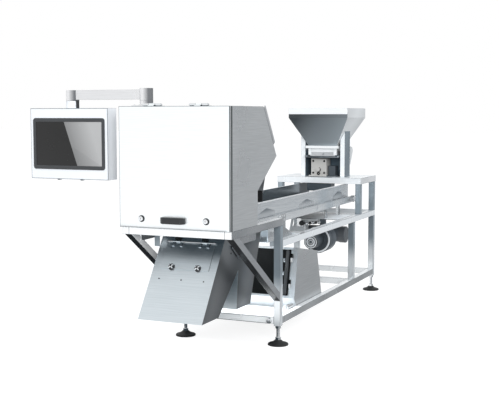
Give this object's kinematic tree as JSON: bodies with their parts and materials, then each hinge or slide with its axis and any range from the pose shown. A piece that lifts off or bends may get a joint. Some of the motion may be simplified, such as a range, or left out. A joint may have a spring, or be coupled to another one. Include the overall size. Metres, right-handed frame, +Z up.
{
  "type": "optical colour sorter",
  "caption": "Belt-fed optical colour sorter: stainless inspection cabinet on a tube frame, hopper and feeder at the far end, split chute below, display on a swing arm.",
  "frame": {"origin": "on the floor under the middle of the outer box", "axes": "+X to the right seen from the door, +Y from the door to the hopper, +Z up"},
  "size_m": [1.2876, 2.7218, 1.467],
  "materials": {
    "stainless": "fine horizontal brushing",
    "bright_sheet": "pale brushed sheet",
    "white_paint": "smooth white powder coat",
    "grey_paint": "satin grey paint",
    "warm_grey_paint": "satin warm grey paint",
    "black_plastic": "matt moulded",
    "screen_plastic": "dark frame with a glossy screen",
    "black_rubber": "matt moulded",
    "belt_rubber": "smooth food belt",
    "chrome": "polished",
    "cast": "painted casting",
    "lamp_plastic": "opal diffuser",
    "board": "circuit boards and modules",
    "spring_steel": "blued spring strip"
  },
  "bodies": {
    "frame": {"frame_posts": "stainless", "frame_rails": "stainless", "cabinet_beams": "stainless", "diagonal_braces": "stainless", "feeder_table": "bright_sheet", "frame_plates": "stainless", "floor_plates": "bright_sheet", "foot_pads": "black_rubber", "foot_stems": "chrome", "side_panels": "stainless", "top_panel": "bright_sheet", "rear_panel": "stainless", "inlet_curtain": "black_rubber", "camera_unit": "black_plastic", "led_bars": "lamp_plastic", "ejector_bank": "stainless", "lower_camera_box": "stainless", "chute_body": "stainless", "conveyor_frames": "stainless", "side_guards": "stainless", "slider_bed": "stainless", "conveyor_belt": "belt_rubber", "roller_bearings": "cast", "conveyor_supports": "stainless", "drive_gearmotor": "grey_paint", "drive_belt": "black_rubber", "hopper": "bright_sheet", "hopper_posts": "bright_sheet", "drop_funnel": "stainless", "vibrator_base": "warm_grey_paint", "leaf_springs": "spring_steel", "blower_housing": "stainless", "blower_motor": "grey_paint", "control_box": "stainless", "control_boards": "board", "air_regulator": "stainless", "arm_post": "white_paint", "door_hinges": "stainless", "air_inlet": "stainless"},
    "front_door": {"front_door": "bright_sheet", "door_seal": "black_rubber", "door_handle": "black_plastic"},
    "left_lock": {"left_lock": "chrome"},
    "right_lock": {"right_lock": "chrome"},
    "rear_hatch": {"rear_hatch": "stainless"},
    "swing_arm": {"swing_arm": "white_paint"},
    "monitor": {"monitor_housing": "white_paint", "monitor_screen": "screen_plastic"},
    "head_roller": {"head_roller": "stainless"},
    "tail_roller": {"tail_roller": "stainless"},
    "drive_pulley": {"drive_pulley": "stainless"},
    "feeder_tray": {"feeder_tray": "bright_sheet"},
    "feed_gate": {"feed_gate": "stainless"},
    "chute_hatch": {"chute_hatch": "stainless"},
    "left_hatch_knob": {"left_hatch_knob": "black_plastic"},
    "right_hatch_knob": {"right_hatch_knob": "black_plastic"},
    "splitter": {"splitter": "stainless"},
    "box_door": {"box_door": "black_plastic"},
    "blower_impeller": {"blower_impeller": "black_plastic"},
    "regulator_knob": {"regulator_knob": "black_plastic"}
  },
  "joints": [
    {"name": "door_hinge", "type": "hinge", "parent": "frame", "child": "front_door", "pos_m": [0.28375, -1.278, 1.379], "axis": [-1, 0, 0], "range_deg": [0, 95]},
    {"name": "left_lock_turn", "type": "hinge", "parent": "front_door", "child": "left_lock", "pos_m": [0.09575, -1.308, 0.785], "axis": [0, 1, 0], "range_deg": [0, 90]},
    {"name": "right_lock_turn", "type": "hinge", "parent": "front_door", "child": "right_lock", "pos_m": [0.47175, -1.308, 0.785], "axis": [0, 1, 0], "range_deg": [0, 90]},
    {"name": "hatch_hinge", "type": "hinge", "parent": "frame", "child": "rear_hatch", "pos_m": [0.28375, -0.85786, 1.36901], "axis": [1, 0, 0], "range_deg": [0, 80]},
    {"name": "arm_swing", "type": "hinge", "parent": "frame", "child": "swing_arm", "pos_m": [0.06875, -1.198, 1.43], "axis": [0, 0, 1], "range_deg": [-25, 25]},
    {"name": "monitor_swivel", "type": "hinge", "parent": "swing_arm", "child": "monitor", "pos_m": [-0.39425, -1.198, 1.43], "axis": [0, 0, 1], "range_deg": [-75, 75]},
    {"name": "tail_roller_spin", "type": "hinge", "parent": "frame", "child": "tail_roller", "pos_m": [0.28375, 1.132, 0.707], "axis": [1, 0, 0], "continuous": true},
    {"name": "head_roller_spin", "type": "hinge", "parent": "frame", "child": "head_roller", "pos_m": [0.28375, -0.768, 0.707], "axis": [1, 0, 0], "continuous": true},
    {"name": "drive_pulley_spin", "type": "hinge", "parent": "frame", "child": "drive_pulley", "pos_m": [0.05775, 0.992, 0.453], "axis": [1, 0, 0], "continuous": true},
    {"name": "tray_vibration", "type": "slide", "parent": "frame", "child": "feeder_tray", "axis": [0, -0.9397, 0.342], "range_m": [-0.002, 0.002], "stiffness_N_per_m": 40000, "deforming": ["leaf_springs"]},
    {"name": "gate_slide", "type": "slide", "parent": "frame", "child": "feed_gate", "axis": [0, 0, 1], "range_m": [0, 0.022]},
    {"name": "chute_hatch_hinge", "type": "hinge", "parent": "frame", "child": "chute_hatch", "pos_m": [0.28375, -1.10236, 0.64407], "axis": [-1, 0, 0], "range_deg": [0, 60]},
    {"name": "left_hatch_knob_turn", "type": "hinge", "parent": "chute_hatch", "child": "left_hatch_knob", "pos_m": [0.20575, -1.18996, 0.52106], "axis": [0, -0.8221, 0.5693], "range_deg": [0, 90]},
    {"name": "right_hatch_knob_turn", "type": "hinge", "parent": "chute_hatch", "child": "right_hatch_knob", "pos_m": [0.36175, -1.18996, 0.52106], "axis": [0, -0.8221, 0.5693], "range_deg": [0, 90]},
    {"name": "splitter_pivot", "type": "hinge", "parent": "frame", "child": "splitter", "pos_m": [0.28375, -0.914, 0.555], "axis": [1, 0, 0], "range_deg": [-12, 12]},
    {"name": "box_door_hinge", "type": "hinge", "parent": "frame", "child": "box_door", "pos_m": [0.52575, -0.28882, 0.21357], "axis": [0, 0.225, 0.9744], "range_deg": [0, 55]},
    {"name": "impeller_spin", "type": "hinge", "parent": "frame", "child": "blower_impeller", "pos_m": [0.45275, 0.542, 0.48], "axis": [0, 1, 0], "continuous": true},
    {"name": "regulator_turn", "type": "hinge", "parent": "frame", "child": "regulator_knob", "pos_m": [0.30975, 0.528, 0.578], "axis": [0, 1, 0], "range_deg": [0, 270]}
  ],
  "couplings": [
    {"joint": "head_roller_spin", "follows": "tail_roller_spin", "ratio": 1},
    {"joint": "drive_pulley_spin", "follows": "tail_roller_spin", "ratio": 1}
  ]
}
